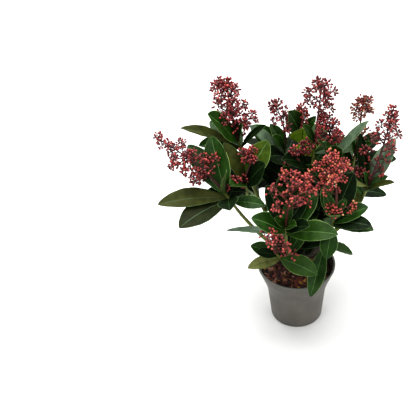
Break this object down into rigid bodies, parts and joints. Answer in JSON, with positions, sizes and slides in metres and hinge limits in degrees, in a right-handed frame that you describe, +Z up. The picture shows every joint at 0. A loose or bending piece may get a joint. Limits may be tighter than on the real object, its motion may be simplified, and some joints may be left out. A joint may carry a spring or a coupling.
{
  "type": "potted skimmia",
  "caption": "Evergreen shrub with whorls of dark glossy leaves and upright heads of small red flower buds, growing in a round nursery pot.",
  "frame": {"origin": "the middle of the pot's flat underside, on the pot's axis", "axes": "+Z up along the pot's axis; the crown's wide way lies along X, and -Y is the side with the two large low flower heads"},
  "size_m": [0.357, 0.2811, 0.3913],
  "materials": {
    "pot_plastic": "matt grey-brown moulded plastic",
    "potting_bark": "rough, moist, dark brown",
    "old_wood": "matt olive brown bark",
    "green_stem": "satin olive green bark",
    "glossy_leaf": "glossy, leathery",
    "red_buds": "satin"
  },
  "bodies": {
    "root": {"pot": "pot_plastic", "potting_bark": "potting_bark", "root_crown": "old_wood", "bough_left_tall": "green_stem", "bough_left_low": "green_stem", "bough_centre_tall": "green_stem", "bough_front": "green_stem", "bough_right_front": "green_stem", "bough_right_far": "green_stem", "bough_mid_back": "green_stem", "bough_left_inner": "green_stem", "bough_back_centre": "green_stem", "bough_right_back": "green_stem", "bough_right_narrow": "green_stem", "bough_low_left": "green_stem", "bough_low_right": "green_stem", "bough_back_left": "green_stem", "bough_back_middle": "green_stem", "bough_back_right": "green_stem", "whorl_left_tall": "glossy_leaf", "whorl_left_low": "glossy_leaf", "whorl_centre_tall": "glossy_leaf", "whorl_front": "glossy_leaf", "whorl_right_front": "glossy_leaf", "whorl_right_far": "glossy_leaf", "whorl_mid_back": "glossy_leaf", "whorl_left_inner": "glossy_leaf", "whorl_back_centre": "glossy_leaf", "whorl_right_back": "glossy_leaf", "whorl_right_narrow": "glossy_leaf", "whorl_low_left": "glossy_leaf", "whorl_low_right": "glossy_leaf", "whorl_back_left": "glossy_leaf", "whorl_back_middle": "glossy_leaf", "whorl_back_right": "glossy_leaf", "head_left_tall": "red_buds", "head_left_low": "red_buds", "head_centre_tall": "red_buds", "head_front": "red_buds", "head_right_front": "red_buds", "head_right_far": "red_buds", "head_mid_back": "red_buds", "head_left_inner": "red_buds", "head_back_centre": "red_buds", "head_right_back": "red_buds", "head_right_narrow": "red_buds", "head_low_left": "red_buds", "head_back_left": "red_buds", "head_back_middle": "red_buds", "head_back_right": "red_buds"}
  },
  "joints": []
}
